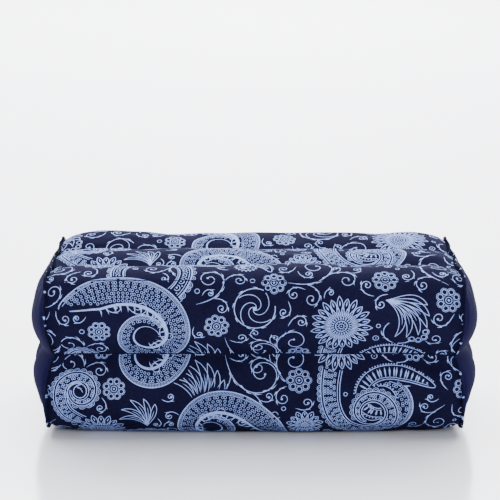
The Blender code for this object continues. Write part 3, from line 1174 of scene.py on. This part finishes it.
def stitchTree(name, material):
    # stitches along a guide line: an arched thread at every pitch, turned to the line's own directions
    tree = bpy.data.node_groups.new(name, "GeometryNodeTree")
    tree.interface.new_socket("Geometry", in_out="INPUT", socket_type="NodeSocketGeometry")
    for label, value in (("Pitch", 0.005), ("Length", 0.004), ("Thread", 0.0005), ("Arch", 0.5), ("Slant", 0.0)):
        made = tree.interface.new_socket(label, in_out="INPUT", socket_type="NodeSocketFloat")
        made.default_value = value
    seed = tree.interface.new_socket("Seed", in_out="INPUT", socket_type="NodeSocketInt")
    seed.default_value = 3
    tree.interface.new_socket("Geometry", in_out="OUTPUT", socket_type="NodeSocketGeometry")
    given = addNode(tree, "NodeGroupInput").outputs
    guide = addNode(tree, "GeometryNodeMeshToCurve", None, Mesh=given["Geometry"]).outputs["Curve"]
    spaced = addNode(tree, "GeometryNodeResampleCurve", {"mode": "LENGTH"}, Curve=guide, Length=given["Pitch"])
    outward = addNode(tree, "GeometryNodeInputNamedAttribute", {"data_type": "FLOAT_VECTOR"}, Name="outward")
    across = addNode(tree, "GeometryNodeInputNamedAttribute", {"data_type": "FLOAT_VECTOR"}, Name="across")
    facing = addNode(
        tree,
        "FunctionNodeAxesToRotation",
        {"primary_axis": "Z", "secondary_axis": "X"},
        Primary_Axis=outward.outputs["Attribute"],
        Secondary_Axis=across.outputs["Attribute"],
    )
    uneven = addNode(tree, "FunctionNodeRandomValue", {"data_type": "FLOAT"}, Seed=given["Seed"])
    uneven.inputs[2].default_value, uneven.inputs[3].default_value = -0.22, 0.22
    slant = addNode(tree, "ShaderNodeMath", {"operation": "ADD"}, i0=given["Slant"], i1=uneven.outputs[1])
    turn = addNode(tree, "ShaderNodeCombineXYZ", None, Z=slant.outputs[0])
    turned = addNode(tree, "FunctionNodeRotateRotation", {"rotation_space": "LOCAL"}, Rotation=facing.outputs[0])
    tree.links.new(turn.outputs[0], turned.inputs[1])
    half = addNode(tree, "ShaderNodeMath", {"operation": "MULTIPLY"}, i0=given["Length"], i1=0.5)
    back = addNode(tree, "ShaderNodeMath", {"operation": "MULTIPLY"}, i0=half.outputs[0], i1=-1.0)
    rise = addNode(tree, "ShaderNodeMath", {"operation": "MULTIPLY"}, i0=given["Length"], i1=given["Arch"])
    start = addNode(tree, "ShaderNodeCombineXYZ", None, X=back.outputs[0])
    top = addNode(tree, "ShaderNodeCombineXYZ", None, Z=rise.outputs[0])
    end = addNode(tree, "ShaderNodeCombineXYZ", None, X=half.outputs[0])
    arch = addNode(
        tree,
        "GeometryNodeCurveQuadraticBezier",
        None,
        Resolution=5,
        Start=start.outputs[0],
        Middle=top.outputs[0],
        End=end.outputs[0],
    )
    section = addNode(
        tree, "GeometryNodeCurvePrimitiveCircle", {"mode": "RADIUS"}, Resolution=5, Radius=given["Thread"]
    )
    thread = addNode(
        tree, "GeometryNodeCurveToMesh", None, Curve=arch.outputs[0], Profile_Curve=section.outputs[0], Fill_Caps=True
    )
    placedAll = addNode(
        tree,
        "GeometryNodeInstanceOnPoints",
        None,
        Points=spaced.outputs["Curve"],
        Instance=thread.outputs["Mesh"],
        Rotation=turned.outputs[0],
    )
    real = addNode(tree, "GeometryNodeRealizeInstances", None, Geometry=placedAll.outputs[0])
    smooth = addNode(tree, "GeometryNodeSetShadeSmooth", None, Geometry=real.outputs[0])
    painted = addNode(tree, "GeometryNodeSetMaterial", None, Geometry=smooth.outputs[0], Material=material)
    addNode(tree, "NodeGroupOutput", None, Geometry=painted.outputs[0])
    return tree


def sewn(name, points, outward, across, closed, sizes, tree, seed):
    # a row of stitches as one plain mesh
    count = len(points)
    mesh = bpy.data.meshes.new(name)
    edges = [(n, n + 1) for n in range(count - 1)] + ([(count - 1, 0)] if closed else [])
    mesh.from_pydata([tuple(map(float, p)) for p in points], edges, [])
    for label, values in (("outward", outward), ("across", across)):
        attribute = mesh.attributes.new(label, "FLOAT_VECTOR", "POINT")
        attribute.data.foreach_set("vector", np.asarray(values, np.float32).ravel())
    obj = bpy.data.objects.new(name, mesh)
    modifier = obj.modifiers.new("stitches", "NODES")
    modifier.node_group = tree
    values = {label.capitalize(): value for label, value in sizes.items()}
    values["Seed"] = seed
    for item in tree.interface.items_tree:
        if item.in_out == "INPUT" and item.name in values:
            modifier[item.identifier] = values[item.name]
    bpy.context.scene.collection.objects.link(obj)
    return applied(obj)


# Finishes
def linear(hexColour):
    # an sRGB hex colour as linear light
    parts = [int(hexColour[n : n + 2], 16) / 255 for n in (1, 3, 5)]
    return [c / 12.92 if c <= 0.04045 else ((c + 0.055) / 1.055) ** 2.4 for c in parts] + [1.0]


def cottonMaterial(name, dark, light, sheen, roughness, threadMm, bump):
    # woven cotton: matte, with a soft lint sheen and a fine crossed weave; its threads of about 0.35 mm
    # are too fine to show here, so they are drawn coarser
    made = bpy.data.materials.new(name)
    made.use_nodes = True
    tree = made.node_tree
    shader = tree.nodes["Principled BSDF"]
    shader.inputs["Roughness"].default_value = roughness
    shader.inputs["Sheen Weight"].default_value = sheen
    shader.inputs["Sheen Roughness"].default_value = 0.45
    shader.inputs["Sheen Tint"].default_value = linear("#6f86e0")
    shader.inputs["Specular IOR Level"].default_value = 0.03
    where = addNode(tree, "ShaderNodeTexCoord").outputs["Object"]
    patchy = addNode(tree, "ShaderNodeTexNoise", None, Vector=where, Scale=38.0, Detail=3.0, Roughness=0.6)
    fleckScale = 1000 / threadMm / 2.4  # two or three threads wide
    fleck = addNode(tree, "ShaderNodeTexNoise", None, Vector=where, Scale=fleckScale, Detail=2.0, Roughness=0.7)
    mixed = addNode(tree, "ShaderNodeMath", {"operation": "MULTIPLY_ADD"}, i0=fleck.outputs["Fac"], i1=0.55)
    half = addNode(tree, "ShaderNodeMath", {"operation": "MULTIPLY"}, i0=patchy.outputs["Fac"], i1=0.45)
    tree.links.new(half.outputs[0], mixed.inputs[2])
    spread = addNode(tree, "ShaderNodeMapRange", None, Value=mixed.outputs[0], From_Min=0.30, From_Max=0.70)
    colour = addNode(tree, "ShaderNodeMix", {"data_type": "RGBA"}, Factor=spread.outputs["Result"])
    colour.inputs[6].default_value, colour.inputs[7].default_value = linear(dark), linear(light)
    tree.links.new(colour.outputs[2], shader.inputs["Base Color"])
    weave = addNode(tree, "ShaderNodeTexNoise", None, Vector=where, Scale=1000 / threadMm, Detail=1.0)
    raised = addNode(tree, "ShaderNodeBump", None, Strength=bump, Distance=0.0004, Height=weave.outputs["Fac"])
    tree.links.new(raised.outputs["Normal"], shader.inputs["Normal"])
    return made


# dark and flat, so the tubes read by their soft shading alone
groundCotton = cottonMaterial("navy dyed cotton", "#0c0b1f", "#14132f", 0.01, 0.95, 0.9, 0.35)
# chalky pigment that sits in the weave and stays matte, with crisp edges
printInk = cottonMaterial("pale blue pigment print", "#7488c6", "#9db1ea", 0.02, 0.85, 0.9, 0.30)
# the same cloth with no print: a more violet navy that shows the bulge of the ends
plainCotton = cottonMaterial("plain navy cotton", "#090727", "#100d38", 0.0, 0.80, 0.9, 0.30)
# twisted thread, darker than the cloth, so each stitch reads as a small notch
darkThread = cottonMaterial("dark sewing thread", "#05070f", "#0b0e1c", 0.04, 0.75, 0.5, 0.20)

stuffing = makeStuffing("stuffed_block", formFaces, groundCotton)
coverPieces = [
    makeCover("front_cover", (0, 1), [groundCotton, printInk]),
    makeCover("top_cover", (2, 3, 4), [groundCotton, printInk]),
    makeCover("back_cover", (5, 6), [groundCotton, printInk]),
    makeCover("underside_cover", (7, 8, 9), [groundCotton, printInk]),
]
panels = [
    makeEndPanel("left_end_panel", ends[0], plainCotton),
    makeEndPanel("right_end_panel", ends[1], plainCotton),
]
seams = [
    makeEndSeam("left_end_seam", 0, [groundCotton, printInk]),
    makeEndSeam("right_end_seam", rings - 1, [groundCotton, printInk]),
]
print("scene: end panels and seams made")

threadTree = stitchTree("row of stitches", darkThread)
stitches = []
for name, s, seed in (("left_whip_stitches", 0, 4), ("right_whip_stitches", rings - 1, 9)):
    i, p, tangent, outward, length = seamPath(s)
    side = -1.0 if s == 0 else 1.0
    across = np.tile(np.array([side, 0.0, 0.0]), (len(p), 1))
    lifted = p + outward * (endSeam["height"] * 0.35)
    stitches.append(sewn(name, lifted, outward, across, True, stitching["whip"], threadTree, seed))
channelRows = []
for number, i in enumerate(sideSeams + levelSeams):
    u = np.linspace(alongMm[0] + 4, alongMm[-1] - 4, 160)
    v = np.full(len(u), aroundMm[i])
    p, n = onCover(u, v), coverNormals(u, v, 1.5)
    ahead = np.gradient(p, axis=0)
    ahead /= np.linalg.norm(ahead, axis=1, keepdims=True)
    name = f"channel_stitches_{number + 1}"
    channelRows.append(sewn(name, p + n * 0.0001, n, ahead, False, stitching["channel"], threadTree, number))
print("scene: stitches sewn")

for piece in [stuffing] + [cloth for cloth, _ in coverPieces + panels] + seams + stitches + channelRows:
    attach(piece, "root")
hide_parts("filled_body")
for cloth, cut in coverPieces:
    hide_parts("filled_body")
for (piece, _), node in zip(panels, ("end_panel_left", "end_panel_right")):
    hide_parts(node)
for piece, node in zip(seams, ("seam_binding_left", "seam_binding_right")):
    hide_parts(node)

# The studio
studio = {
    "floorColour": "#eeeff3",
    "lens": 152.6,
    "cameraPlace": (-0.0034, -1.612, 0.444),
    "cameraPitch": 11.14,
    "cameraYaw": 0.0,
}
floorMesh = meshObject("studio_floor", [(-6, -4, 0), (6, -4, 0), (6, 7, 0), (-6, 7, 0)], [(0, 1, 2, 3)], [])
backdrop = meshObject("backdrop", [(-9, 6, 0), (9, 6, 0), (9, 6, 6), (-9, 6, 6)], [(0, 1, 2, 3)], [])
floorPaint = bpy.data.materials.new("smooth white floor paint")  # pale, with a faint soft reflection of the block
floorPaint.use_nodes = True
paint = floorPaint.node_tree.nodes["Principled BSDF"]
paint.inputs["Base Color"].default_value = linear(studio["floorColour"])
paint.inputs["Roughness"].default_value = 0.16
paint.inputs["Specular IOR Level"].default_value = 1.0
floorMesh.data.materials.append(floorPaint)
backdrop.data.materials.append(floorPaint)


def addLight(name, place, target, size, power, colour):
    light = bpy.data.lights.new(name, "AREA")
    light.shape = "RECTANGLE"
    light.size, light.size_y = size
    light.energy = power
    light.color = linear(colour)[:3]
    obj = bpy.data.objects.new(name, light)
    obj.location = place
    obj.rotation_euler = (Vector(target) - Vector(place)).to_track_quat("-Z", "Y").to_euler()
    bpy.context.scene.collection.objects.link(obj)


addLight("window behind", (0.0, 2.6, 1.9), (0, 0, 0.05), (3.6, 1.8), 60, "#e8eeff")
addLight("soft front", (0.3, -2.4, 1.1), (0, 0, 0.06), (1.8, 1.0), 39, "#ffffff")
addLight("overhead", (0.0, 1.5, 2.8), (0, 0.9, 0), (5.0, 3.6), 330, "#ffffff")
addLight("backdrop wash", (0.0, 3.2, 2.6), (0, 6, 1.2), (5.0, 1.6), 480, "#ffffff")
addLight("far floor", (0.0, 3.8, 3.2), (0, 4.0, 0), (5.0, 3.4), 560, "#ffffff")

world = bpy.data.worlds.new("pale room")
bpy.context.scene.world = world
world.use_nodes = True
world.node_tree.nodes["Background"].inputs["Color"].default_value = linear("#eef1f8")
world.node_tree.nodes["Background"].inputs["Strength"].default_value = 0.9

cameraData = bpy.data.cameras.new("camera")
cameraData.lens = studio["lens"]
cameraData.sensor_width = 36
camera = bpy.data.objects.new("camera", cameraData)
camera.location = studio["cameraPlace"]
camera.rotation_euler = (math.radians(90 - studio["cameraPitch"]), 0, math.radians(-studio["cameraYaw"]))
bpy.context.scene.collection.objects.link(camera)
bpy.context.scene.camera = camera
